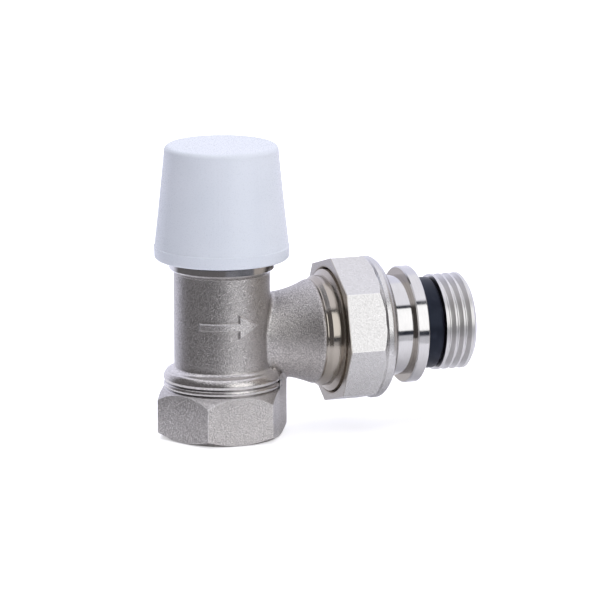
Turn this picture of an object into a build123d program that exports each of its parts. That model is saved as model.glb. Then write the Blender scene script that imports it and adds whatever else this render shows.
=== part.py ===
from build123d import *
import math
import os

# Angle-pattern lockshield radiator valve, half-inch. All sizes are in millimetres.
# Frame: origin at the centre of the inlet mouth, +Z up the column to the cap,
# +X along the outlet to the radiator.

# ---- pipe threads (ISO 228): outside and root radius, pitch ----
HALF_INCH_R = 20.955 / 2
HALF_INCH_ROOT_R = 18.631 / 2
UNION_R = 26.441 / 2
UNION_ROOT_R = 24.117 / 2
PIPE_PITCH = 1.8143
CREST_SHARE = 0.19            # flat crest as a share of the pitch

# ---- fits ----
RUN = 0.05                    # radial running clearance between parts that turn or slide
LOOSE = 0.1                   # clearance where parts only pass each other

# ---- foot and column ----
FOOT_FLATS = 25.4
FOOT_FACE_R = 12.4            # bottom face, inside the lower corner bevel
FOOT_BEVEL_Z = 1.4            # where the lower corner bevel ends on a corner
FOOT_CORNER_Z = 8.55          # where the upper corner bevel starts on a corner
FOOT_TOP = 10.75
FOOT_SHOULDER = (13.55, 9.75) # radius and height where the upper bevel flattens
GROOVE_R = 12.25              # bottom of the grooves above and below the band
GROOVE_Z = 12.15
GROOVE_HALF = 0.3
BAND_R = 12.62                # band between the foot and the collar
COLLAR_R = 12.68
COLLAR_Z = 12.95              # where the collar is widest
SHOULDER_Z = 14.45            # where the collar's rounded shoulder turns to the column
SHOULDER_R = 11.85
COLUMN_R = 10.36
COLUMN_FOOT = 15.9            # bottom of the column's straight part
COLUMN_TOP = 36.3
COLUMN_BEVEL = 0.45
WEB_TOP = 13.6                # top, inside the branch, of the foot's corner under it
WEB_BLEND = 0.6

# ---- branch ----
OUTLET_Z = 21.27              # outlet axis above the inlet mouth
BRANCH_SECTIONS = (           # distance out, half width across, half height of each oval
    (4.0, 6.5, 8.8), (8.4, 7.05, 9.0), (12.4, 7.95, 9.3), (16.3, 9.4, 10.05),
    (19.2, 10.9, 11.1), (20.4, 11.55, 11.55))
BRANCH_CAST_X = 20.4          # end of the forged skin
BRANCH_END_R = 11.55
BRANCH_STEP = 0.2             # how far the machined end starts below the skin
BRANCH_FACE_X = 29.2          # machined end face
BRANCH_BAND_R = 12.0
BRANCH_BAND_X = 21.4
BRANCH_THREAD_X = 23.6
BRANCH_THREAD_END = 0.6       # bevel from the last crest to the end face
BRANCH_BLEND = 1.2

# ---- waterways ----
INLET_MOUTH = 0.45            # height of the countersink at the mouth
INLET_THREAD_Z = 10.6
INLET_RELIEF_Z = 12.4
SEAT_R = 5.6
SEAT_Z = 16.0
SEAT_LIP = 0.5
CHAMBER_R = 7.6
CHAMBER_TOP = 28.5
OUTLET_R = 6.0
OUTLET_START_X = 9.4
OUTLET_WINDOW_R = 5.1
SPIGOT_SEAT_R = 8.75
SPIGOT_SEAT_X = 24.4

# ---- bonnet ----
BONNET_THREAD_R = 9.0
BONNET_PITCH = 1.5
BONNET_BOTTOM = 29.3
FLANGE_R = 11.34
FLANGE_BOTTOM = 36.42
FLANGE_TOP = 38.5
BOSS_R = 9.0
BOSS_TOP = 46.0

# ---- gland ----
GLAND_THREAD_R = 6.6
GLAND_SEAT_Z = 41.6
GLAND_WASHER = 0.8
GLAND_HEX_FLATS = 14.0
GLAND_HEX_TOP = 49.6
STEM_SEAL_R = 5.3             # outside of the stem seals
STEM_SEAL_W = 1.8
STEM_SEAL_Z = (44.2, 47.4)

# ---- spindle and closing plug, drawn shut ----
LIFT = 4.5                    # full opening, in four and a half turns
SPINDLE_THREAD_R = 5.0
SPINDLE_PITCH = 1.0
SPINDLE_THREAD_Z = (29.9, GLAND_SEAT_Z - LIFT - 0.6)
STEM_R = 4.0
STEM_TOP = 52.0
SHANK_R = 3.9
KEY_FLATS = 5.0
KEY_DEPTH = 7.0
PIN_R = 2.9
PIN_BOTTOM = 18.3
PIN_CLIP_Z = (19.3, 20.1)
PIN_CLIP_R = 2.45
PLUG_R = 7.1
PLUG_TOP = 21.1
PLUG_SEAL_R = 6.7
PLUG_SEAL_THICK = 1.6
PLUG_SCREW_R = 1.5
PLUG_SCREW_HEAD = 1.3
PLUG_WASHER_R = 5.0
PLUG_WASHER_THICK = 0.5

# ---- cap: radius of the smooth outside at a few heights ----
CAP_BOTTOM = 39.0
CAP_BAND_TOP = 41.75
CAP_BOTTOM_R = 14.5
CAP_BAND_R = 14.6
CAP_BAND_STEP = 0.14          # how far the band stands proud of the taper
CAP_BAND_EDGE = 0.35
CAP_TOP = 63.55
CAP_TOP_R = 12.3
CAP_WAIST = (13.36, 51.7)      # radius and height
CAP_WALL = 1.6
CAP_EDGE = 1.1
SLEEVE_R = 10.5
SLEEVE_BOTTOM = 40.2
SLEEVE_SLOT_TOP = 50.0
SLEEVE_SLOT = 1.6
CAP_RIBS = 8
CAP_RIB_THICK = 1.0
CAP_RIB_BOTTOM = 44.0

# ---- union nut ----
NUT_FLATS = 30.0
NUT_SIDES = 8
NUT_TILT = 16.1               # angle of one flat from the front, about the outlet axis
NUT_X = 24.0
NUT_PRISM_X = 31.6            # where the corner bevel starts on a corner
NUT_COLLAR_X = 32.6           # where the flats end at the round collar
NUT_COLLAR_R = 15.45
NUT_COLLAR_EDGE = 0.3
NUT_COLLAR_W = 0.8
NUT_NOSE = ((34.3, 15.25), (34.9, 14.7), (35.5, 13.75), (36.1, 12.45))
NUT_END_X = 36.4
NUT_END_R = 11.45
NUT_MOUTH_R = 13.75
NUT_BORE_END_X = 31.3
NUT_LIP_R = 11.05

# ---- tailpiece ----
TAIL_BORE_R = 6.9
TAIL_KEY_FLATS = 13.0
TAIL_KEY_X = 46.0
TAIL_START_X = 25.0
TAIL_SPIGOT_R = SPIGOT_SEAT_R - RUN
TAIL_HEAD_R = 10.95
TAIL_HEAD_END_X = 32.3
RING_SLOT_END_X = 34.1
RING_SLOT_R = 10.05
RING_THICK = 1.6
RING_INNER_R = 10.15
RING_OUTER_R = 11.75
RING_GAP = 24.0               # degrees left open in the snap ring
TUBE_R = 10.87
COLLAR_X = (40.44, 43.15)
TAIL_COLLAR_R = 12.73
SEAL_SLOT_R = 7.75            # slot behind the thread, from the collar to the first crest
TAIL_SEAL_END_X = 47.85
TAIL_SEAL_R = 9.95
TAIL_SEAL_SOFT = 1.0
TAIL_THREAD_X = 47.9
TAIL_THREAD_END = 0.7         # bevel from the last crest to the end face
TAIL_END_X = 55.0
SPIGOT_SEAL_X = (26.2, 28.0)
SPIGOT_SEAL_SLOT_R = 7.7

# ---- raised flow arrow on the front of the column ----
ARROW_Z = 25.6
ARROW_TAIL_X = -7.6
ARROW_HEAD_X = 0.4
ARROW_TIP_X = 5.4
ARROW_BAR = 1.7
ARROW_WING = 2.7
ARROW_RAISE = 0.55
ARROW_BEVEL = 0.25

OUTLET_AXIS = Axis((0, 0, OUTLET_Z), (1, 0, 0))


def closed_face(points):
    """A flat face inside a closed run of straight lines."""
    return make_face(Polyline(*points, close=True))


def turned_z(outline):
    """A solid turned about the column axis from (radius, height) points."""
    return revolve(closed_face([(r, 0, z) for r, z in outline]), Axis.Z, 360)


def turned_x(outline):
    """A solid turned about the outlet axis from (distance, radius) points."""
    return revolve(closed_face([(x, 0, OUTLET_Z + r) for x, r in outline]), OUTLET_AXIS, 360)


def tube_z(inner, outer, low, high):
    """A plain ring about the column axis."""
    return turned_z([(inner, low), (outer, low), (outer, high), (inner, high)])


def rod_z(radius, low, high):
    """A plain round bar about the column axis."""
    return turned_z([(0, low), (radius, low), (radius, high), (0, high)])


def hex_bar_z(flats, low, high):
    """A hexagon bar about the column axis, with two of its flats facing -Y and +Y."""
    corner_r = flats / 2 / math.cos(math.pi / 6)
    sketch = Plane.XY.offset(low) * RegularPolygon(corner_r, 6, major_radius=True)
    return extrude(sketch, amount=high - low)


def thread_ridge(start, end, crest_r, root_r, pitch):
    """Outline points of a thread form along start..end: one V groove a pitch, flat crests."""
    crest = CREST_SHARE * pitch
    flank = (pitch - crest) / 2
    root = flank - abs(crest_r - root_r) * math.tan(math.radians(27.5))
    root = max(root, 0.1 * pitch)
    grooves = int((end - start - crest) / pitch)
    first = start + (end - start - grooves * pitch - crest) / 2 + crest
    points = [(start, crest_r)]
    for n in range(grooves):
        left = first + n * pitch
        right = left + pitch - crest
        middle = (left + right) / 2
        points += [(left, crest_r), (middle - root / 2, root_r),
                   (middle + root / 2, root_r), (right, crest_r)]
    return points + [(end, crest_r)]


def swapped(points):
    """The same points with their two numbers exchanged."""
    return [(b, a) for a, b in points]


def ring_section(inner, outer, low, high, soft):
    """An elastomer ring about the column axis with its section's corners rounded."""
    ring = tube_z(inner, outer, low, high)
    return fillet(ring.edges().filter_by(GeomType.CIRCLE), soft)


def ring_section_x(inner, outer, start, end, soft):
    """An elastomer ring about the outlet axis with its section's corners rounded."""
    ring = turned_x([(start, inner), (end, inner), (end, outer), (start, outer)])
    return fillet(ring.edges().filter_by(GeomType.CIRCLE), soft)


# ---------------------------------------------------------------- valve body

def foot():
    """The spanner hexagon round the inlet, its corners bevelled above and below."""
    corner_r = FOOT_FLATS / 2 / math.cos(math.pi / 6)
    bevelled = turned_z([(0, 0), (FOOT_FACE_R, 0), (corner_r, FOOT_BEVEL_Z),
                         (corner_r, FOOT_CORNER_Z), FOOT_SHOULDER, (GROOVE_R, FOOT_TOP),
                         (0, FOOT_TOP)])
    return hex_bar_z(FOOT_FLATS, 0, FOOT_TOP) & bevelled


def foot_web():
    """The foot's one corner under the branch, which runs straight up into it."""
    mid_flat_x = FOOT_FLATS / 2 * math.cos(math.pi / 6)
    tip = Pos(mid_flat_x + FOOT_FLATS / 2, 0, 0) * Box(FOOT_FLATS, FOOT_FLATS, 2 * WEB_TOP)
    return hex_bar_z(FOOT_FLATS, FOOT_CORNER_Z - 1, WEB_TOP) & tip


def column():
    """The upright round body above the foot, with its band, collar and shoulder."""
    low = FOOT_TOP - 1
    band_z = (FOOT_TOP + GROOVE_Z) / 2
    band_low = (BAND_R - 0.08, 0, FOOT_TOP + GROOVE_HALF)
    band_high = (BAND_R - 0.08, 0, GROOVE_Z - GROOVE_HALF)
    widest = (COLLAR_R, 0, COLLAR_Z)
    outline = [
        Polyline((0, 0, low), (GROOVE_R, 0, low), (GROOVE_R, 0, FOOT_TOP), band_low),
        ThreePointArc(band_low, (BAND_R, 0, band_z), band_high),
        Polyline(band_high, (GROOVE_R, 0, GROOVE_Z),
                 (COLLAR_R - 0.1, 0, GROOVE_Z + GROOVE_HALF), widest),
        Spline(widest, (COLLAR_R - 0.24, 0, COLLAR_Z + 0.75), (SHOULDER_R, 0, SHOULDER_Z),
               (SHOULDER_R - 0.7, 0, SHOULDER_Z + 0.3), (COLUMN_R + 0.26, 0, SHOULDER_Z + 0.7),
               (COLUMN_R, 0, COLUMN_FOOT), tangents=[(0, 0, 1), (0, 0, 1)]),
        Polyline((COLUMN_R, 0, COLUMN_FOOT), (COLUMN_R, 0, COLUMN_TOP - COLUMN_BEVEL),
                 (COLUMN_R - COLUMN_BEVEL, 0, COLUMN_TOP), (0, 0, COLUMN_TOP), (0, 0, low)),
    ]
    return revolve(make_face(outline), Axis.Z, 360)


def branch():
    """The forged arm to the outlet: oval at the column, flaring to round at its end."""
    return loft([Plane(origin=(x, 0, OUTLET_Z), x_dir=(0, 1, 0), z_dir=(1, 0, 0))
                 * Ellipse(half_width, half_height)
                 for x, half_width, half_height in BRANCH_SECTIONS])


def branch_end():
    """The machined end of the branch: polished band, union thread and end face."""
    ridge = thread_ridge(BRANCH_THREAD_X, BRANCH_FACE_X - BRANCH_THREAD_END,
                         UNION_R, UNION_ROOT_R, PIPE_PITCH)
    start_r = BRANCH_END_R - BRANCH_STEP
    outline = [(BRANCH_CAST_X - 2, 0), (BRANCH_CAST_X - 2, start_r - 2),
               (BRANCH_CAST_X, start_r), (BRANCH_CAST_X + BRANCH_STEP, start_r),
               (BRANCH_BAND_X, BRANCH_BAND_R), (BRANCH_THREAD_X - 0.5, BRANCH_BAND_R)]
    outline += ridge + [(BRANCH_FACE_X, UNION_R - 0.9), (BRANCH_FACE_X, 0)]
    return turned_x(outline)


def flow_arrow():
    """A raised arrow wrapped on the front of the column, pointing to the outlet."""
    half = ARROW_BAR / 2
    flat = [(ARROW_TAIL_X, half), (ARROW_HEAD_X, half), (ARROW_HEAD_X, ARROW_WING),
            (ARROW_TIP_X, 0), (ARROW_HEAD_X, -ARROW_WING), (ARROW_HEAD_X, -half),
            (ARROW_TAIL_X, -half)]
    face = closed_face([(x, 0, ARROW_Z + z) for x, z in flat])
    bar = extrude(face, amount=COLUMN_R + 2, dir=(0, -1, 0))
    skin = tube_z(COLUMN_R - 1, COLUMN_R + ARROW_RAISE,
                  ARROW_Z - ARROW_WING - 1, ARROW_Z + ARROW_WING + 1)
    arrow = bar & skin
    front = arrow.edges().filter_by(lambda edge: all(
        math.hypot(edge.position_at(t).X, edge.position_at(t).Y) > COLUMN_R + ARROW_RAISE - 0.01
        for t in (0, 0.5, 1)))
    return chamfer(front, ARROW_BEVEL)


def inlet_cavity():
    """The inlet thread, its run-out groove and the orifice, as the space they leave."""
    ridge = thread_ridge(INLET_MOUTH, INLET_THREAD_Z, HALF_INCH_ROOT_R, HALF_INCH_R, PIPE_PITCH)
    outline = [(0, -1), (HALF_INCH_R, -1), (HALF_INCH_R, 0)] + swapped(ridge)
    outline += [(HALF_INCH_R, INLET_THREAD_Z + 0.6), (HALF_INCH_R, INLET_RELIEF_Z - 0.8),
                (HALF_INCH_ROOT_R - 0.6, INLET_RELIEF_Z), (SEAT_R + 0.8, INLET_RELIEF_Z + 0.3),
                (SEAT_R, INLET_RELIEF_Z + 1.1), (SEAT_R, SEAT_Z + 1), (0, SEAT_Z + 1)]
    return turned_z(outline)


def column_cavity():
    """The valve chamber over its raised seat lip, and the threaded bore for the bonnet."""
    lip_r = SEAT_R + 0.7
    return turned_z([(0, SEAT_Z + SEAT_LIP), (lip_r, SEAT_Z + SEAT_LIP), (lip_r + 0.3, SEAT_Z),
                     (CHAMBER_R, SEAT_Z), (CHAMBER_R, CHAMBER_TOP), (BONNET_THREAD_R, CHAMBER_TOP),
                     (BONNET_THREAD_R, COLUMN_TOP + 1), (0, COLUMN_TOP + 1)])


def outlet_cavity():
    """The waterway along the branch, with the plain bore that takes the tail's spigot."""
    mouth = 0.8
    return turned_x([(0, 0), (0, OUTLET_WINDOW_R), (OUTLET_START_X, OUTLET_WINDOW_R),
                     (OUTLET_START_X + 1, OUTLET_R), (SPIGOT_SEAT_X, OUTLET_R),
                     (SPIGOT_SEAT_X, SPIGOT_SEAT_R), (BRANCH_FACE_X - mouth, SPIGOT_SEAT_R),
                     (BRANCH_FACE_X, SPIGOT_SEAT_R + mouth), (BRANCH_FACE_X + 1, SPIGOT_SEAT_R + mouth),
                     (BRANCH_FACE_X + 1, 0)])


def blended_branch():
    """The branch with a small blend where it leaves a plain column."""
    joined = rod_z(COLUMN_R, FOOT_TOP - 1, COLUMN_TOP - 1) + branch()
    crotch = [edge for edge in joined.edges().filter_by(GeomType.BSPLINE)
              if edge.bounding_box().max.X < COLUMN_R + 0.1]
    return fillet(crotch, BRANCH_BLEND)


def blended_web():
    """The blended branch with the foot's corner run into its underside."""
    joined = blended_branch() + foot_web()
    seam = [edge for edge in joined.edges()
            if FOOT_TOP < edge.center().Z < WEB_TOP and edge.center().X > COLUMN_R + 1
            and abs(edge.center().Y) > 1]
    return fillet(seam, WEB_BLEND)


def valve_body():
    """The forged brass body: foot, column and branch in one piece."""
    forging = column() + blended_web()
    forging += foot()
    forging += branch_end()
    forging += flow_arrow()
    return forging - inlet_cavity() - column_cavity() - outlet_cavity()


# ---------------------------------------------------------------- bonnet and gland

def bonnet():
    """The screwed-in headwork: thread, flange and the boss that the cap grips."""
    ridge = thread_ridge(BONNET_BOTTOM + 0.6, COLUMN_TOP - 1.2, BONNET_THREAD_R,
                         BONNET_THREAD_R - 0.9, BONNET_PITCH)
    neck_r = BONNET_THREAD_R - 0.9
    outline = [(SPINDLE_THREAD_R + RUN, BONNET_BOTTOM), (neck_r, BONNET_BOTTOM)]
    outline += swapped(ridge)
    outline += [(neck_r, COLUMN_TOP - 0.7), (neck_r, FLANGE_BOTTOM),
                (FLANGE_R - 0.55, FLANGE_BOTTOM), (FLANGE_R, FLANGE_BOTTOM + 0.5),
                (FLANGE_R, FLANGE_TOP - 0.25), (FLANGE_R - 0.25, FLANGE_TOP),
                (BOSS_R, FLANGE_TOP), (BOSS_R, BOSS_TOP - 0.5), (BOSS_R - 0.5, BOSS_TOP),
                (GLAND_THREAD_R, BOSS_TOP), (GLAND_THREAD_R, GLAND_SEAT_Z),
                (SPINDLE_THREAD_R + RUN, GLAND_SEAT_Z)]
    return turned_z(outline)


def bonnet_gasket():
    """The flat sealing ring that the bonnet presses on the body's inner shoulder."""
    return tube_z(CHAMBER_R + 0.1, BONNET_THREAD_R - 0.1, CHAMBER_TOP, BONNET_BOTTOM)


def gland_nut():
    """The hollow nut in the bonnet's top, grooved inside for the two stem seals."""
    inner = STEM_R + RUN
    bottom = GLAND_SEAT_Z + GLAND_WASHER
    barrel = tube_z(inner, GLAND_THREAD_R, bottom, BOSS_TOP)
    head = hex_bar_z(GLAND_HEX_FLATS, BOSS_TOP, GLAND_HEX_TOP)
    corner_r = GLAND_HEX_FLATS / 2 / math.cos(math.pi / 6)
    head &= turned_z([(inner, BOSS_TOP), (corner_r, BOSS_TOP), (corner_r, GLAND_HEX_TOP - 0.8),
                      (GLAND_HEX_FLATS / 2 - 0.2, GLAND_HEX_TOP), (inner, GLAND_HEX_TOP)])
    nut = barrel + head
    for z in STEM_SEAL_Z:
        nut -= tube_z(inner - 0.2, STEM_SEAL_R, z, z + STEM_SEAL_W)
    return nut


def gland_washer():
    """The low-friction washer that the spindle's thread meets when fully open."""
    return tube_z(STEM_R + RUN, GLAND_THREAD_R - LOOSE, GLAND_SEAT_Z, GLAND_SEAT_Z + GLAND_WASHER)


def stem_seal(z):
    """One elastomer ring round the stem, drawn squeezed in its groove."""
    return ring_section(STEM_R + 0.03, STEM_SEAL_R, z + 0.05, z + STEM_SEAL_W - 0.05, 0.4)


# ---------------------------------------------------------------- spindle and plug

def spindle():
    """The rising spindle: hexagon key socket, stem, adjusting thread and swivel pin."""
    low, high = SPINDLE_THREAD_Z
    ridge = thread_ridge(low, high, SPINDLE_THREAD_R, SPINDLE_THREAD_R - 0.55, SPINDLE_PITCH)
    clip_low, clip_high = PIN_CLIP_Z
    outline = [(0, PIN_BOTTOM), (PIN_R - 0.3, PIN_BOTTOM), (PIN_R, PIN_BOTTOM + 0.3),
               (PIN_R, clip_low), (PIN_CLIP_R, clip_low), (PIN_CLIP_R, clip_high),
               (PIN_R, clip_high), (PIN_R, PLUG_TOP + 0.05), (SHANK_R, PLUG_TOP + 0.05),
               (SHANK_R, low - 0.6), (SPINDLE_THREAD_R - 0.55, low - 0.6)]
    outline += swapped(ridge)
    outline += [(STEM_R, high + 0.5), (STEM_R, STEM_TOP - 0.5), (STEM_R - 0.5, STEM_TOP),
                (0, STEM_TOP)]
    socket = hex_bar_z(KEY_FLATS, STEM_TOP - KEY_DEPTH, STEM_TOP + 1)
    lead_in = turned_z([(0, STEM_TOP - 0.5), (KEY_FLATS / 2, STEM_TOP - 0.5),
                        (KEY_FLATS / 2 + 0.6, STEM_TOP + 0.1), (0, STEM_TOP + 0.1)])
    return turned_z(outline) - socket - lead_in


def plug():
    """The brass closing plug that swivels on the spindle's pin."""
    bottom = SEAT_Z + SEAT_LIP
    blank = turned_z([(0, bottom), (PLUG_R - 0.4, bottom), (PLUG_R, bottom + 0.4),
                      (PLUG_R, PLUG_TOP - 0.6), (PLUG_R - 0.6, PLUG_TOP), (0, PLUG_TOP)])
    seal_top = bottom + PLUG_SEAL_THICK
    cuts = tube_z(PLUG_SCREW_R + 1.0, PLUG_SEAL_R, bottom - 1, seal_top)
    socket = rod_z(PIN_R + RUN, PIN_BOTTOM - 0.1, PLUG_TOP + 1)
    low, high = PIN_CLIP_Z
    groove = rod_z(PIN_R + 0.8, low - 0.05, high + 0.05)
    return blank - cuts - socket - groove - rod_z(PLUG_SCREW_R, bottom - 1, PIN_BOTTOM)


def plug_clip():
    """The split ring in the plug's groove that holds the spindle's pin in the socket."""
    low, high = PIN_CLIP_Z
    inner = PIN_CLIP_R + RUN
    ring = tube_z(inner, PIN_R + 0.75, low + 0.02, high - 0.02)
    gap = Pos(PIN_R, 0, (low + high) / 2) * Box(2 * PIN_R, 2.0, 2)
    return ring - gap


def plug_seal():
    """The rubber disc ring in the plug's underside that closes on the seat."""
    bottom = SEAT_Z + SEAT_LIP
    return tube_z(PLUG_SCREW_R + 1.0, PLUG_SEAL_R, bottom, bottom + PLUG_SEAL_THICK)


def plug_washer():
    """The thin washer that spreads the screw's grip over the seal's inner edge."""
    bottom = SEAT_Z + SEAT_LIP
    return tube_z(PLUG_SCREW_R, PLUG_WASHER_R, bottom - PLUG_WASHER_THICK, bottom)


def plug_screw():
    """The slotted screw that holds the washer and the seal in the plug."""
    seat = SEAT_Z + SEAT_LIP - PLUG_WASHER_THICK
    low = seat - PLUG_SCREW_HEAD
    head_r = PLUG_WASHER_R - 1.6
    screw = turned_z([(0, low), (head_r - 0.5, low), (head_r, low + 0.5), (head_r, seat),
                      (PLUG_SCREW_R, seat), (PLUG_SCREW_R, PIN_BOTTOM - 0.15),
                      (0, PIN_BOTTOM - 0.15)])
    slot = Pos(0, 0, low) * Box(3 * head_r, 0.9, PLUG_SCREW_HEAD)
    return screw - slot


# ---------------------------------------------------------------- cap

def cap_outside():
    """The cap's smooth outside: a short band, then a gently hollow taper to the top."""
    taper_foot = (CAP_BAND_R - CAP_BAND_STEP, 0, CAP_BAND_TOP)
    taper_top = (CAP_TOP_R, 0, CAP_TOP - CAP_EDGE)
    outline = [
        Polyline((0, 0, CAP_TOP), (0, 0, CAP_BOTTOM), (CAP_BOTTOM_R - CAP_BAND_EDGE, 0, CAP_BOTTOM),
                 (CAP_BOTTOM_R, 0, CAP_BOTTOM + CAP_BAND_EDGE),
                 (CAP_BAND_R, 0, CAP_BAND_TOP - CAP_BAND_STEP), taper_foot),
        Spline(taper_foot, (CAP_WAIST[0], 0, CAP_WAIST[1]), taper_top),
        Polyline(taper_top, (CAP_TOP_R, 0, CAP_TOP), (0, 0, CAP_TOP)),
    ]
    solid = revolve(make_face(outline), Axis.Z, 360)
    rim = [edge for edge in solid.edges().filter_by(GeomType.CIRCLE)
           if edge.center().Z > CAP_TOP - 0.01 and edge.radius > CAP_TOP_R - 0.1]
    return fillet(rim, CAP_EDGE - 0.05)


def cap_hollow():
    """The space between the cap's outer wall and its inner top."""
    inner_top = CAP_TOP - CAP_WALL
    return turned_z([(0, CAP_BOTTOM - 1), (CAP_BOTTOM_R - CAP_WALL, CAP_BOTTOM - 1),
                     (CAP_BAND_R - CAP_WALL, CAP_BAND_TOP), (CAP_WAIST[0] - CAP_WALL, CAP_WAIST[1]),
                     (CAP_TOP_R - CAP_WALL, inner_top - 1), (CAP_TOP_R - CAP_WALL - 1, inner_top),
                     (0, inner_top)])


def protective_cap():
    """The moulded cap: outer wall, and a slotted inner sleeve that grips the boss."""
    inner_top = CAP_TOP - CAP_WALL
    grip_r = BOSS_R + RUN
    shell = cap_outside() - cap_hollow()
    sleeve = tube_z(grip_r, SLEEVE_R, SLEEVE_BOTTOM, inner_top + 0.2)
    for quarter in range(4):
        slot = Pos(SLEEVE_R, 0, (SLEEVE_BOTTOM + SLEEVE_SLOT_TOP) / 2) * Box(
            5, SLEEVE_SLOT, SLEEVE_SLOT_TOP - SLEEVE_BOTTOM)
        sleeve -= Rot(0, 0, 45 + 90 * quarter) * slot
    cap = shell + sleeve
    rib_zone = cap_outside() - rod_z(SLEEVE_R - 0.4, CAP_BOTTOM - 1, CAP_TOP + 1)
    height = inner_top + 0.2 - CAP_RIB_BOTTOM
    for n in range(CAP_RIBS):
        rib = Pos(CAP_BAND_R / 2, 0, CAP_RIB_BOTTOM + height / 2) * Box(
            CAP_BAND_R, CAP_RIB_THICK, height)
        cap += (Rot(0, 0, 360 / CAP_RIBS * (n + 0.5)) * rib) & rib_zone
    return cap


# ---------------------------------------------------------------- union and tail

def union_nut():
    """The eight-sided union nut, with a round nose and an inner lip."""
    corner_r = NUT_FLATS / 2 / math.cos(math.pi / NUT_SIDES)
    sketch = RegularPolygon(corner_r, NUT_SIDES, major_radius=True,
                            rotation=180 / NUT_SIDES)
    prism = extrude(Plane(origin=(NUT_X, 0, OUTLET_Z), x_dir=(0, -1, 0), z_dir=(1, 0, 0))
                    * Rot(0, 0, -NUT_TILT) * sketch, amount=NUT_END_X - NUT_X)
    flat_end_r = NUT_FLATS / 2
    bevelled = turned_x([(NUT_X, 0), (NUT_X, corner_r), (NUT_PRISM_X, corner_r),
                         (NUT_COLLAR_X, flat_end_r), (NUT_COLLAR_X, 0)])
    thread_r = UNION_R + LOOSE
    slot_r = RING_OUTER_R + LOOSE
    hollow = turned_x([(NUT_X - 1, 0), (NUT_X - 1, NUT_MOUTH_R), (NUT_X, NUT_MOUTH_R),
                       (NUT_X + 0.6, thread_r), (NUT_BORE_END_X, thread_r),
                       (NUT_BORE_END_X + 0.7, NUT_LIP_R), (TAIL_HEAD_END_X, NUT_LIP_R),
                       (TAIL_HEAD_END_X, slot_r), (RING_SLOT_END_X, slot_r),
                       (RING_SLOT_END_X, NUT_LIP_R), (NUT_END_X + 1, NUT_LIP_R),
                       (NUT_END_X + 1, 0)])
    return (prism & bevelled) + nut_nose() - hollow


def nut_nose():
    """The nut's round nose: a low collar over the flats' ends, then a full curve inward."""
    start = NUT_COLLAR_X + NUT_COLLAR_EDGE
    widest = (start, 0, OUTLET_Z + NUT_COLLAR_R)
    turn = (start + NUT_COLLAR_W, 0, OUTLET_Z + NUT_COLLAR_R)
    curve = [(x, 0, OUTLET_Z + r) for x, r in NUT_NOSE]
    end = (NUT_END_X, 0, OUTLET_Z + NUT_END_R)
    back_r = NUT_COLLAR_R - NUT_COLLAR_EDGE
    outline = [
        Line(widest, turn),
        Spline(turn, *curve, end, tangents=[(1, 0, 0), (0.25, 0, -1)]),
        Polyline(end, (NUT_END_X, 0, OUTLET_Z), (NUT_COLLAR_X - 1, 0, OUTLET_Z),
                 (NUT_COLLAR_X - 1, 0, OUTLET_Z + back_r - 1),
                 (NUT_COLLAR_X, 0, OUTLET_Z + back_r), widest),
    ]
    return revolve(make_face(outline), OUTLET_AXIS, 360)


def union_snap_ring():
    """The split wire ring that ties the union nut to the tailpiece."""
    start = (TAIL_HEAD_END_X + RING_SLOT_END_X - RING_THICK) / 2
    end = start + RING_THICK
    bevel = 0.4
    outline = [(start, RING_INNER_R + bevel), (start + bevel, RING_INNER_R),
               (end - bevel, RING_INNER_R), (end, RING_INNER_R + bevel),
               (end, RING_OUTER_R - bevel), (end - bevel, RING_OUTER_R),
               (start + bevel, RING_OUTER_R), (start, RING_OUTER_R - bevel)]
    section = closed_face([(x, 0, OUTLET_Z + r) for x, r in outline])
    return revolve(section, OUTLET_AXIS, 360 - RING_GAP)


def tailpiece():
    """The turned tail: sealing spigot, head, collar and the thread for the radiator."""
    seal_start, seal_end = SPIGOT_SEAL_X
    ridge = thread_ridge(TAIL_THREAD_X, TAIL_END_X - TAIL_THREAD_END,
                         HALF_INCH_R, HALF_INCH_ROOT_R, PIPE_PITCH)
    collar_start, collar_end = COLLAR_X
    outline = [(TAIL_START_X, TAIL_BORE_R), (TAIL_START_X, TAIL_SPIGOT_R - 0.6),
               (TAIL_START_X + 0.6, TAIL_SPIGOT_R), (seal_start, TAIL_SPIGOT_R),
               (seal_start, SPIGOT_SEAL_SLOT_R), (seal_end, SPIGOT_SEAL_SLOT_R),
               (seal_end, TAIL_SPIGOT_R), (BRANCH_FACE_X + 0.05, TAIL_SPIGOT_R),
               (BRANCH_FACE_X + 0.05, TAIL_HEAD_R), (TAIL_HEAD_END_X, TAIL_HEAD_R),
               (TAIL_HEAD_END_X, RING_SLOT_R), (RING_SLOT_END_X, RING_SLOT_R),
               (RING_SLOT_END_X, TUBE_R), (collar_start, TUBE_R),
               (collar_start, TAIL_COLLAR_R - 0.3), (collar_start + 0.25, TAIL_COLLAR_R),
               (collar_end - 0.2, TAIL_COLLAR_R), (collar_end, TAIL_COLLAR_R - 0.2),
               (collar_end, SEAL_SLOT_R), (TAIL_THREAD_X, SEAL_SLOT_R)]
    outline += ridge + [(TAIL_END_X, HALF_INCH_R - 0.9), (TAIL_END_X, TAIL_BORE_R)]
    corner_r = TAIL_KEY_FLATS / 2 / math.cos(math.pi / 6)
    key = extrude(Plane(origin=(TAIL_KEY_X, 0, OUTLET_Z), x_dir=(0, -1, 0), z_dir=(1, 0, 0))
                  * RegularPolygon(corner_r, 6, major_radius=True), amount=TAIL_END_X + 1 - TAIL_KEY_X)
    return turned_x(outline) - key


def tail_seat_seal():
    """The elastomer ring on the spigot that seals the union."""
    start, end = SPIGOT_SEAL_X
    return ring_section_x(SPIGOT_SEAL_SLOT_R, SPIGOT_SEAT_R - 0.02, start + 0.05, end - 0.05, 0.35)


def tail_thread_seal():
    """The black ring behind the tail's thread that seals in the radiator's mouth."""
    return ring_section_x(SEAL_SLOT_R, TAIL_SEAL_R, COLLAR_X[1], TAIL_SEAL_END_X, TAIL_SEAL_SOFT)


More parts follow.
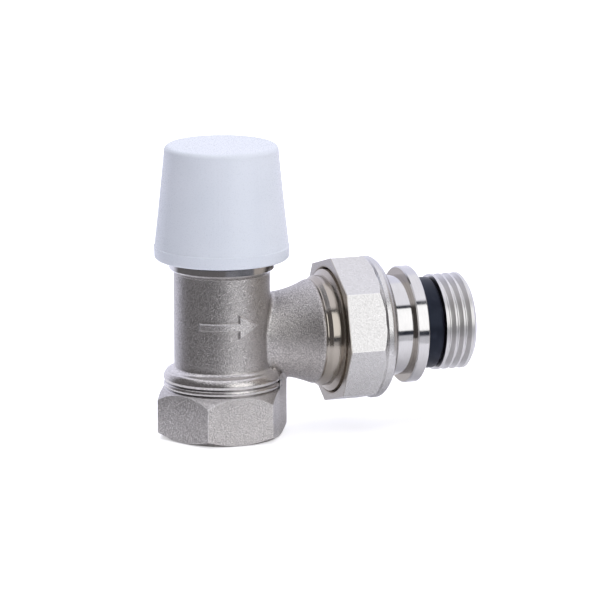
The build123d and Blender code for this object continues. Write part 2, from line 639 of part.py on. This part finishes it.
PARTS = {
    "valve_body": valve_body,
    "bonnet": bonnet,
    "bonnet_gasket": bonnet_gasket,
    "gland_nut": gland_nut,
    "gland_washer": gland_washer,
    "stem_seal_lower": lambda: stem_seal(STEM_SEAL_Z[0]),
    "stem_seal_upper": lambda: stem_seal(STEM_SEAL_Z[1]),
    "spindle": spindle,
    "plug": plug,
    "plug_clip": plug_clip,
    "plug_seal": plug_seal,
    "plug_washer": plug_washer,
    "plug_screw": plug_screw,
    "protective_cap": protective_cap,
    "union_nut": union_nut,
    "union_snap_ring": union_snap_ring,
    "tailpiece": tailpiece,
    "tail_seat_seal": tail_seat_seal,
    "tail_thread_seal": tail_thread_seal,
}

os.makedirs("parts", exist_ok=True)
for name, make in PARTS.items():
    export_step(make(), f"parts/{name}.step")
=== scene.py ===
import math

import bmesh
import bpy
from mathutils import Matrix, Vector

MM = 0.001
OUTLET_Z = 21.27 * MM         # outlet axis above the floor

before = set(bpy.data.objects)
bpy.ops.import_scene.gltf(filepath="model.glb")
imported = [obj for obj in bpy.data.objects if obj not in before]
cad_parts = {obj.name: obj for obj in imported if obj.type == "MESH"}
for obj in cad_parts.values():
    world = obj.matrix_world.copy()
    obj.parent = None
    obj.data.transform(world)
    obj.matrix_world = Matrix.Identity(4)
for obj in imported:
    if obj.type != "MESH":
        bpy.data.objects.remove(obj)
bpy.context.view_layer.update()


# ---------------------------------------------------------------- zones on the pieces
# Places along the frame's axes. A pair is the start and the end of a soft edge.

SOFT = 0.05 * MM                           # half the width of a crisp edge

TURNED_X = 20.1 * MM                       # the branch is machined beyond this
INLET_R, INLET_TOP_Z = 10.6 * MM, 12.6 * MM
COLUMN_BORE_R = 9.1 * MM
BRANCH_BORE_X, BRANCH_BORE_R = 8.0 * MM, 6.2 * MM
OUTLET_MOUTH_X, OUTLET_MOUTH_R = 24.3 * MM, 8.9 * MM
BRANCH_X = (9 * MM, 12 * MM)

COLLAR_BOTTOM_Z = 10.5 * MM
COLLAR_TOP_Z = (15.6 * MM, 15.0 * MM)
COLLAR_END_X = (10.5 * MM, 11.5 * MM)

ARROW_R, ARROW_SOFT = 10.75 * MM, 0.1 * MM
ARROW_BOTTOM_Z = 20 * MM
ARROW_TOP_Z = (31 * MM, 30 * MM)
ARROW_END_X = (7.0 * MM, 6.0 * MM)

# Painted shade: two dark lines at the grooves above and below the foot's band.
GROOVE_ABOVE_Z, GROOVE_BELOW_Z = 12.15 * MM, 10.8 * MM
GROOVE_REACH = 0.3 * MM
GROOVE_END_X = (12.3 * MM, 11.8 * MM)

# Where painted shade darkens the inside of the nut and its left face.
NUT_BORE_R = (14.3 * MM, 13.9 * MM)
NUT_BORE_X = (33 * MM, 32 * MM)
NUT_FACE_X = (24.3 * MM, 24.1 * MM)

THREAD_X = 47.7 * MM                       # the tail's thread starts here
# Where painted shade darkens the rear face of the tail's collar.
COLLAR_BACK_X, COLLAR_BACK_REACH = 40.44 * MM, 0.05 * MM


# ---------------------------------------------------------------- colours
# A pair holds the two tones that a soft cloud moves between.

FORGED_PIT = (0.33, 0.315, 0.31, 1)
FORGED_PEAKS = ((0.78, 0.75, 0.73, 1), (0.84, 0.81, 0.79, 1))
# Brighter edges: wear, and partly a painted highlight.
FORGED_EDGE_WEAR_AND_HIGHLIGHT = (0.92, 0.90, 0.885, 1)
BRANCH_TINT = (0.30, 0.26, 0.23, 1)
ARROW_TINT = (0.90, 0.88, 0.86, 1)
# Painted shade for the grooves by the foot's band.
GROOVE_PAINTED_SHADE = (0.10, 0.10, 0.12, 1)
MACHINED = (0.45, 0.41, 0.36, 1)
BORED_BRASS = (0.60, 0.47, 0.25, 1)

NUT_PIT = (0.56, 0.55, 0.545, 1)
NUT_PEAKS = ((0.71, 0.70, 0.695, 1), (0.76, 0.75, 0.745, 1))
# Brighter corners: wear, and partly a painted highlight.
NUT_EDGE_WEAR_AND_HIGHLIGHT = (0.84, 0.83, 0.82, 1)
# Painted shade for the inside of the nut and its left face.
NUT_BORE_PAINTED_SHADE = (0.42, 0.385, 0.34, 1)
NUT_FACE_PAINTED_SHADE = (0.30, 0.27, 0.235, 1)

POLISHED = ((0.64, 0.63, 0.625, 1), (0.70, 0.69, 0.685, 1))
LATHE_LINE = (0.5, 0.49, 0.48, 1)
# Painted shade for the rear face of the tail's collar.
COLLAR_BACK_PAINTED_SHADE = (0.26, 0.22, 0.17, 1)
# Painted highlight for the thread's crests.
THREAD_CREST_HIGHLIGHT = (0.95, 0.94, 0.93, 1)

BRASS = ((0.62, 0.44, 0.17, 1), (0.72, 0.53, 0.24, 1))
PLASTIC = ((0.69, 0.73, 0.795, 1), (0.72, 0.755, 0.82, 1))
RUBBER = ((0.005, 0.0055, 0.01, 1), (0.018, 0.02, 0.03, 1))
RUBBER_SHEEN = (0.6, 0.72, 1.0, 1)
PTFE = ((0.78, 0.78, 0.75, 1), (0.86, 0.86, 0.84, 1))
STEEL = ((0.42, 0.42, 0.43, 1), (0.55, 0.55, 0.56, 1))


# ---------------------------------------------------------------- studio values

BACKDROP = (0.95, 0.96, 1.12)
CEILING = (1.12, 1.12, 1.2)
GROUND = (0.67, 0.67, 0.725)
WALL = (0.15, 0.144, 0.15)
SHADE = (0.44, 0.40, 0.375)
GAP = (0.025, 0.03, 0.045)

# Once round the studio: 0 and 1 behind, 0.25 to the left, 0.5 in front, 0.75 to the right.
AROUND = ((0.0, BACKDROP), (0.085, BACKDROP), (0.14, WALL), (0.63, WALL),
          (0.66, SHADE), (0.74, SHADE), (0.85, BACKDROP), (1.0, BACKDROP))
# In front, from straight down at 0 to straight up at 1.
FRONT = ((0.0, GROUND), (0.38, GROUND), (0.397, GAP), (0.884, GAP),
         (0.9, CEILING), (1.0, CEILING))
FRONT_START, FRONT_END = (0.47, 0.485), (0.665, 0.65)
CEILING_FROM = (0.72, 0.84)                # upward part of the direction
GROUND_FROM = (-0.38, -0.55)

LIGHT_TARGET = Vector((0.025, 0, 0.022))

FLOOR_X, FLOOR_Z = 0.02, -0.05 * MM        # just under the foot's flat bottom
FLOOR_NEAR_R, FLOOR_FAR_R = 0.06, 4.0
FLOOR_STEPS = 96
FLOOR_COLOUR = (0.9, 0.9, 0.93, 1)
FLOOR_ROUGH = 0.6
FLOOR_GLOW, FLOOR_GLOW_SEEN = 0.05, 0.45   # the second is added where the camera sees it

CAMERA_TARGET = Vector((27 * MM, 0, 33 * MM))
CAMERA_AZIMUTH, CAMERA_ELEVATION = -19.167, 11.977
CAMERA_DISTANCE = 1.2687
CAMERA_LENS, CAMERA_SENSOR = 351.4, 36
CAMERA_SHIFT_X, CAMERA_SHIFT_Y = -0.0673, -0.0405
CAMERA_CLIP = (0.01, 20)


# ---------------------------------------------------------------- node helpers

def add(tree, kind, links=(), **settings):
    """A new node. links gives its inputs: a number, a colour or another node's output."""
    node = tree.nodes.new("ShaderNode" + kind)
    for name, value in settings.items():
        setattr(node, name, value)
    for key, value in dict(links).items():
        socket = node.inputs[key]
        if isinstance(value, bpy.types.NodeSocket):
            tree.links.new(value, socket)
        else:
            socket.default_value = value
    return node


def maths(tree, operation, a, b=0.0):
    return add(tree, "Math", {0: a, 1: b}, operation=operation).outputs[0]


def plus(tree, a, b):
    return maths(tree, "ADD", a, b)


def minus(tree, a, b):
    return maths(tree, "SUBTRACT", a, b)


def times(tree, a, b):
    return maths(tree, "MULTIPLY", a, b)


def larger(tree, a, b):
    return maths(tree, "MAXIMUM", a, b)


def under(tree, value, limit):
    """1 where value is less than limit."""
    return maths(tree, "LESS_THAN", value, limit)


def over(tree, value, limit):
    """1 where value is more than limit."""
    return maths(tree, "GREATER_THAN", value, limit)


def between(tree, value, low, high, to_low=0.0, to_high=1.0, smooth=True):
    """value, moved from low..high to to_low..to_high and held there."""
    node = add(tree, "MapRange", {"Value": value, 1: low, 2: high, 3: to_low, 4: to_high})
    if smooth:
        node.interpolation_type = "SMOOTHSTEP"
    return node.outputs[0]


def mix(tree, factor, a, b):
    """A number between a and b."""
    return add(tree, "Mix", {0: factor, 2: a, 3: b}).outputs[0]


def blend(tree, factor, a, b):
    """A colour between a and b."""
    return add(tree, "Mix", {0: factor, 6: a, 7: b}, data_type="RGBA").outputs[2]


def tint(tree, tone, mask, amount, colour):
    """tone, moved towards colour by amount where mask is 1."""
    return blend(tree, times(tree, mask, amount), tone, colour)


def ramp(tree, value, stops):
    """A colour ramp. stops holds (position, colour)."""
    node = add(tree, "ValToRGB", {0: value})
    band = node.color_ramp
    while len(band.elements) < len(stops):
        band.elements.new(0.5)
    for element, (position, tone) in zip(band.elements, stops):
        element.position = position
        element.color = (*tone, 1)
    return node.outputs[0]


def noise(tree, where, size, detail=3.0, rough=0.55):
    """Noise whose features are about size metres across."""
    node = add(tree, "TexNoise", {"Vector": where, "Scale": 0.5 / size, "Detail": detail,
                                  "Roughness": rough})
    return node.outputs["Fac"]


def stretched(tree, where, scale):
    """The coordinates, scaled by axis."""
    return add(tree, "Mapping", {"Vector": where, "Scale": scale}).outputs[0]


def axes(tree, where):
    """The x, y and z of a coordinate."""
    return add(tree, "SeparateXYZ", {0: where}).outputs


def bump(tree, height, strength, distance, normal=None):
    links = {"Height": height, "Strength": strength, "Distance": distance}
    if normal:
        links["Normal"] = normal
    return add(tree, "Bump", links).outputs[0]


def edges(tree, radius):
    """1 on sharp outer edges and 0 on flat faces."""
    soft = add(tree, "Bevel", {"Radius": radius}, samples=6).outputs[0]
    plain = add(tree, "NewGeometry").outputs["Normal"]
    dot = add(tree, "VectorMath", {0: soft, 1: plain}, operation="DOT_PRODUCT").outputs["Value"]
    return between(tree, dot, 1.0, 0.93)


def mask_above(tree, value, edge, soft=SOFT):
    """1 where value is above edge, 0 below it."""
    return between(tree, value, edge - soft, edge + soft)


def near(tree, value, middle, reach):
    """1 where value is at middle, falling to 0 at reach from it."""
    away = maths(tree, "ABSOLUTE", minus(tree, value, middle))
    return between(tree, away, reach, 0.0)


def radius_of(tree, a, b):
    """Distance from an axis, from the two coordinates across it."""
    return maths(tree, "SQRT", plus(tree, times(tree, a, a), times(tree, b, b)))


def cloudy(tree, cloud, low, high, tones):
    """A soft change between two tones, as cloud goes from low to high."""
    return blend(tree, between(tree, cloud, low, high), *tones)


# ---------------------------------------------------------------- materials

def material(name):
    mat = bpy.data.materials.new(name)
    mat.use_nodes = True
    tree = mat.node_tree
    shader = tree.nodes["Principled BSDF"]
    where = add(tree, "TexCoord").outputs["Object"]
    return mat, tree, shader, where


def finish(tree, shader, tone, rough, normal=None, metal=False):
    """Joins the colour, the roughness and the bump to the shader."""
    tree.links.new(tone, shader.inputs["Base Color"])
    tree.links.new(rough, shader.inputs["Roughness"])
    if normal:
        tree.links.new(normal, shader.inputs["Normal"])
    if metal:
        shader.inputs["Metallic"].default_value = 1.0


def blasted(tree, where, coarse, depth):
    """The shot-blasted grain: its tone from 0 to 1, and its height."""
    fine = noise(tree, where, 0.12 * MM, 2.0, 0.7)
    lumps = noise(tree, where, coarse, 2.0, 0.6)
    both = plus(tree, times(tree, fine, 0.8), times(tree, lumps, 0.2))
    tone = between(tree, both, 0.36, 0.64, smooth=False)
    height = plus(tree, fine, times(tree, lumps, depth))
    return tone, height


def body_zones(tree, where):
    """Masks on the valve body: machined outlet end, bored inside, branch, the foot's
    collar, the raised arrow and the painted shade in the grooves by the band."""
    x, y, z = axes(tree, where)
    from_column = radius_of(tree, x, y)
    from_outlet = radius_of(tree, y, minus(tree, z, OUTLET_Z))

    turned = mask_above(tree, x, TURNED_X)
    branch = between(tree, x, *BRANCH_X)

    in_mouth = times(tree, under(tree, from_column, INLET_R), under(tree, z, INLET_TOP_Z))
    in_column = under(tree, from_column, COLUMN_BORE_R)
    bore_r = mix(tree, over(tree, x, OUTLET_MOUTH_X), BRANCH_BORE_R, OUTLET_MOUTH_R)
    in_branch = times(tree, under(tree, from_outlet, bore_r), over(tree, x, BRANCH_BORE_X))
    inside = larger(tree, larger(tree, in_mouth, in_column), in_branch)

    level = times(tree, mask_above(tree, z, COLLAR_BOTTOM_Z), between(tree, z, *COLLAR_TOP_Z))
    collar = times(tree, level, minus(tree, 1.0, between(tree, x, *COLLAR_END_X)))

    proud = times(tree, mask_above(tree, from_column, ARROW_R, ARROW_SOFT),
                  between(tree, x, *ARROW_END_X))
    arrow = times(tree, proud, times(tree, mask_above(tree, z, ARROW_BOTTOM_Z),
                                     between(tree, z, *ARROW_TOP_Z)))

    # Painted shade: dark lines at the grooves above and below the band.
    groove_shade = larger(tree, near(tree, z, GROOVE_ABOVE_Z, GROOVE_REACH),
                    near(tree, z, GROOVE_BELOW_Z, GROOVE_REACH))
    groove_shade = times(tree, groove_shade, between(tree, x, *GROOVE_END_X))
    return turned, inside, branch, collar, arrow, groove_shade


def forged_nickel():
    """Nickel plate over a shot-blasted brass forging, bright where it is machined. Painted shade
    darkens the grooves by the foot's band, and the edges are brighter from wear and a painted
    highlight.
    """
    mat, tree, shader, where = material("forged_nickel")
    turned, inside, branch, collar, arrow, groove_shade = body_zones(tree, where)
    machined = larger(tree, turned, inside)
    grain, height = blasted(tree, where, 0.24 * MM, 0.7)
    # Edge mask: brightening from wear, and partly a painted highlight.
    worn_and_highlight = edges(tree, 0.3 * MM)

    light = cloudy(tree, noise(tree, where, 4 * MM), 0.35, 0.65, FORGED_PEAKS)
    tone = blend(tree, grain, FORGED_PIT, light)
    for mask, amount, colour in ((branch, 0.12, BRANCH_TINT), (collar, 0.35, light),
                                 (arrow, 0.45, ARROW_TINT), (groove_shade, 0.8, GROOVE_PAINTED_SHADE),
                                 (worn_and_highlight, 0.7, FORGED_EDGE_WEAR_AND_HIGHLIGHT)):
        tone = tint(tree, tone, mask, amount, colour)
    tone = blend(tree, machined, tone, MACHINED)
    tone = blend(tree, inside, tone, BORED_BRASS)

    rough = between(tree, grain, 0.0, 1.0, 0.36, 0.26)
    for mask, change in ((branch, 0.12), (worn_and_highlight, -0.08), (collar, -0.12), (arrow, -0.08)):
        rough = plus(tree, rough, times(tree, mask, change))
    rough = mix(tree, machined, rough, 0.16)

    strength = minus(tree, 1.0, times(tree, collar, 0.5))
    strength = mix(tree, machined, strength, 0.06)
    finish(tree, shader, tone, rough, bump(tree, height, strength, 0.07 * MM), metal=True)
    return mat


def nut_nickel():
    """The nut: satin flats with a fine tumbled grain, brighter on its corners from rubbing and a
    painted highlight. Painted shade darkens its inside and its left face.
    """
    mat, tree, shader, where = material("nut_nickel")
    x, y, z = axes(tree, where)
    grain, height = blasted(tree, where, 0.25 * MM, 0.5)
    # Edge mask: brightening from wear, and partly a painted highlight.
    worn_and_highlight = edges(tree, 0.35 * MM)

    light = cloudy(tree, noise(tree, where, 5 * MM), 0.35, 0.65, NUT_PEAKS)
    tone = blend(tree, grain, NUT_PIT, light)
    tone = tint(tree, tone, worn_and_highlight, 0.6, NUT_EDGE_WEAR_AND_HIGHLIGHT)
    from_outlet = radius_of(tree, y, minus(tree, z, OUTLET_Z))
    # Painted shade inside the nut and on its left face.
    bore_shade = times(tree, between(tree, from_outlet, *NUT_BORE_R), between(tree, x, *NUT_BORE_X))
    tone = blend(tree, bore_shade, tone, NUT_BORE_PAINTED_SHADE)
    tone = tint(tree, tone, between(tree, x, *NUT_FACE_X), 0.7, NUT_FACE_PAINTED_SHADE)

    rough = between(tree, grain, 0.0, 1.0, 0.33, 0.25)
    rough = minus(tree, rough, times(tree, worn_and_highlight, 0.08))
    finish(tree, shader, tone, rough, bump(tree, height, 0.5, 0.05 * MM), metal=True)
    return mat


def polished_nickel():
    """Bright nickel on a turned surface, with faint lathe lines and handling haze. Painted shade
    darkens the rear face of the collar. The thread is duller, with a painted highlight on its
    crests."""
    mat, tree, shader, where = material("polished_nickel")
    x = axes(tree, where)[0]
    cloud = noise(tree, where, 3 * MM)
    lines = noise(tree, stretched(tree, where, (1.0, 0.06, 0.06)), 0.08 * MM, 2.0)
    thread = mask_above(tree, x, THREAD_X)

    tone = cloudy(tree, cloud, 0.3, 0.7, POLISHED)
    tone = blend(tree, between(tree, lines, 0.45, 0.75, 0.0, 0.25), tone, LATHE_LINE)
    # Painted shade on the rear face of the collar.
    back_shade = near(tree, x, COLLAR_BACK_X, COLLAR_BACK_REACH)
    tone = tint(tree, tone, back_shade, 0.8, COLLAR_BACK_PAINTED_SHADE)
    # Painted highlight on the thread's crests.
    crest_highlight = times(tree, thread, edges(tree, 0.18 * MM))
    tone = blend(tree, crest_highlight, tone, THREAD_CREST_HIGHLIGHT)

    rough = between(tree, cloud, 0.3, 0.7, 0.08, 0.14)
    rough = plus(tree, rough, times(tree, thread, 0.2))

    height = blasted(tree, where, 0.3 * MM, 0.5)[1]
    satin = bump(tree, height, times(tree, thread, 0.4), 0.04 * MM)
    finish(tree, shader, tone, rough, bump(tree, lines, 0.12, 0.01 * MM, satin), metal=True)
    return mat


def turned_brass():
    """Bare machined brass inside the valve."""
    mat, tree, shader, where = material("turned_brass")
    cloud = noise(tree, where, 2 * MM)
    lines = noise(tree, stretched(tree, where, (0.06, 0.06, 1.0)), 0.08 * MM, 2.0)
    tone = cloudy(tree, cloud, 0.3, 0.7, BRASS)
    rough = between(tree, cloud, 0.3, 0.7, 0.18, 0.32)
    finish(tree, shader, tone, rough, bump(tree, lines, 0.2, 0.01 * MM), metal=True)
    return mat


def white_plastic():
    """Moulded white plastic with a faint blue cast and a satin gloss."""
    mat, tree, shader, where = material("white_plastic")
    fine = noise(tree, where, 0.12 * MM, 2.0)
    wave = noise(tree, where, 9 * MM, 2.0)
    tone = cloudy(tree, wave, 0.35, 0.65, PLASTIC)
    rough = between(tree, fine, 0.3, 0.7, 0.26, 0.34)
    height = plus(tree, fine, times(tree, wave, 2.0))
    finish(tree, shader, tone, rough, bump(tree, height, 0.15, 0.02 * MM))
    shader.inputs["Subsurface Weight"].default_value = 0.15
    shader.inputs["Subsurface Radius"].default_value = (0.6 * MM, 0.6 * MM, 0.6 * MM)
    return mat


def black_rubber():
    """Black rubber with a little pale dust."""
    mat, tree, shader, where = material("black_rubber")
    fine = noise(tree, where, 0.15 * MM)
    dust = noise(tree, where, 1.5 * MM, 4.0)
    tone = cloudy(tree, dust, 0.5, 0.8, RUBBER)
    rough = between(tree, dust, 0.3, 0.7, 0.32, 0.48)
    finish(tree, shader, tone, rough, bump(tree, fine, 0.2, 0.02 * MM))
    shader.inputs["Specular IOR Level"].default_value = 0.35
    shader.inputs["Specular Tint"].default_value = RUBBER_SHEEN
    return mat


def white_ptfe():
    """The slippery white washer under the gland nut."""
    mat, tree, shader, where = material("white_ptfe")
    fine = noise(tree, where, 0.4 * MM)
    tone = cloudy(tree, fine, 0.3, 0.7, PTFE)
    finish(tree, shader, tone, between(tree, fine, 0.3, 0.7, 0.4, 0.55))
    return mat


def spring_steel():
    """The split rings."""
    mat, tree, shader, where = material("spring_steel")
    fine = noise(tree, where, 0.5 * MM)
    tone = cloudy(tree, fine, 0.3, 0.7, STEEL)
    finish(tree, shader, tone, between(tree, fine, 0.3, 0.7, 0.2, 0.35), metal=True)
    return mat


SLOT_LOOKS = {
    "nickel_forged": forged_nickel(),
    "nickel_polished": polished_nickel(),
    "nickel_nut": nut_nickel(),
    "turned_brass": turned_brass(),
    "spring_steel": spring_steel(),
    "black_rubber": black_rubber(),
    "white_ptfe": white_ptfe(),
    "white_abs": white_plastic(),
}
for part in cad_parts.values():
    slot = part.data.materials[0].name
    part.data.materials.clear()
    part.data.materials.append(SLOT_LOOKS[slot])


# ---------------------------------------------------------------- studio

def studio_world():
    """White behind, dark to the left and in front, grey to the right, with a bright
    ceiling and ground. Round the main light the front is darker still. The camera
    itself sees plain white."""
    world = bpy.data.worlds.new("studio")
    bpy.context.scene.world = world
    world.use_nodes = True
    tree = world.node_tree
    x, y, z = axes(tree, add(tree, "TexCoord").outputs["Generated"])
    azimuth = maths(tree, "ARCTAN2", x, times(tree, y, -1.0))
    turn = plus(tree, maths(tree, "DIVIDE", azimuth, math.tau), 0.5)
    height = plus(tree, times(tree, z, 0.5), 0.5)

    tone = ramp(tree, turn, AROUND)
    tone = blend(tree, between(tree, z, *CEILING_FROM), tone, (*CEILING, 1))
    tone = blend(tree, between(tree, z, *GROUND_FROM), tone, (*GROUND, 1))
    ahead = times(tree, between(tree, turn, *FRONT_START), between(tree, turn, *FRONT_END))
    tone = blend(tree, ahead, tone, ramp(tree, height, FRONT))

    light = add(tree, "Background", {"Color": tone, "Strength": 1.0}).outputs[0]
    plain = add(tree, "Background", {"Color": (1, 1, 1, 1), "Strength": 1.0}).outputs[0]
    seen = add(tree, "LightPath").outputs["Is Camera Ray"]
    mixed = add(tree, "MixShader", {0: seen, 1: light, 2: plain}).outputs[0]
    tree.links.new(mixed, tree.nodes["World Output"].inputs[0])


def direction(azimuth, elevation):
    """From the object outwards. Azimuth 0 is the front, and 90 is the right."""
    a, e = math.radians(azimuth), math.radians(elevation)
    return Vector((math.sin(a) * math.cos(e), -math.cos(a) * math.cos(e), math.sin(e)))


def softbox(name, azimuth, elevation, distance, width, height, power):
    """A rectangular light that faces the middle of the object."""
    lamp = bpy.data.lights.new(name, "AREA")
    lamp.shape = "RECTANGLE"
    lamp.size, lamp.size_y = width, height
    lamp.energy = power
    holder = bpy.data.objects.new(name, lamp)
    away = direction(azimuth, elevation)
    holder.location = LIGHT_TARGET + away * distance
    holder.rotation_euler = away.to_track_quat("Z", "Y").to_euler()
    holder.visible_camera = False
    bpy.context.scene.collection.objects.link(holder)
    return holder


def floor_mesh(name, inner, outer):
    """A flat disc, or a flat ring when inner is more than 0."""
    ring = bmesh.new()
    loops = []
    for radius in (inner, outer):
        if radius > 0:
            loops.append([ring.verts.new((FLOOR_X + radius * math.cos(math.tau * k / FLOOR_STEPS),
                                          radius * math.sin(math.tau * k / FLOOR_STEPS), FLOOR_Z))
                          for k in range(FLOOR_STEPS)])
    if len(loops) == 1:
        ring.faces.new(loops[0])
    else:
        for k in range(FLOOR_STEPS):
            n = (k + 1) % FLOOR_STEPS
            ring.faces.new((loops[0][k], loops[1][k], loops[1][n], loops[0][n]))
    mesh = bpy.data.meshes.new(name)
    ring.to_mesh(mesh)
    ring.free()
    return mesh


def floor():
    """The stage: a small disc under the valve, and a wide ring that its metal does not
    reflect."""
    for name, inner, outer in (("floor_near", 0.0, FLOOR_NEAR_R),
                               ("floor_far", FLOOR_NEAR_R, FLOOR_FAR_R)):
        mesh = floor_mesh(name, inner, outer)
        sheet = bpy.data.objects.new(name, mesh)
        bpy.context.scene.collection.objects.link(sheet)
        mat, tree, shader, _ = material(name)
        shader.inputs["Base Color"].default_value = FLOOR_COLOUR
        shader.inputs["Roughness"].default_value = FLOOR_ROUGH
        shader.inputs["Emission Color"].default_value = (1, 1, 1, 1)
        seen = add(tree, "LightPath").outputs["Is Camera Ray"]
        glow = plus(tree, times(tree, seen, FLOOR_GLOW_SEEN), FLOOR_GLOW)
        tree.links.new(glow, shader.inputs["Emission Strength"])
        mesh.materials.append(mat)
        sheet.visible_glossy = inner == 0.0


def camera():
    """The viewpoint: to the left of the front, a little above, from far away."""
    lens = bpy.data.cameras.new("camera")
    lens.sensor_width = CAMERA_SENSOR
    lens.lens = CAMERA_LENS
    lens.clip_start, lens.clip_end = CAMERA_CLIP
    lens.shift_x, lens.shift_y = CAMERA_SHIFT_X, CAMERA_SHIFT_Y
    eye = bpy.data.objects.new("camera", lens)
    away = direction(CAMERA_AZIMUTH, CAMERA_ELEVATION)
    eye.location = CAMERA_TARGET + away * CAMERA_DISTANCE
    eye.rotation_euler = away.to_track_quat("Z", "Y").to_euler()
    bpy.context.scene.collection.objects.link(eye)
    bpy.context.scene.camera = eye


studio_world()
softbox("key", azimuth=19.5, elevation=21, distance=0.7, width=0.61, height=0.62, power=1.7)
for name, azimuth, elevation, distance, side, power in (("top", 0, 88, 0.8, 0.9, 2.5),
                                                        ("fill", -19, 5, 1.0, 0.8, 1.5)):
    lamp = softbox(name, azimuth, elevation, distance, side, side, power)
    lamp.visible_glossy = False
floor()
camera()
bpy.context.scene.view_settings.view_transform = "Standard"
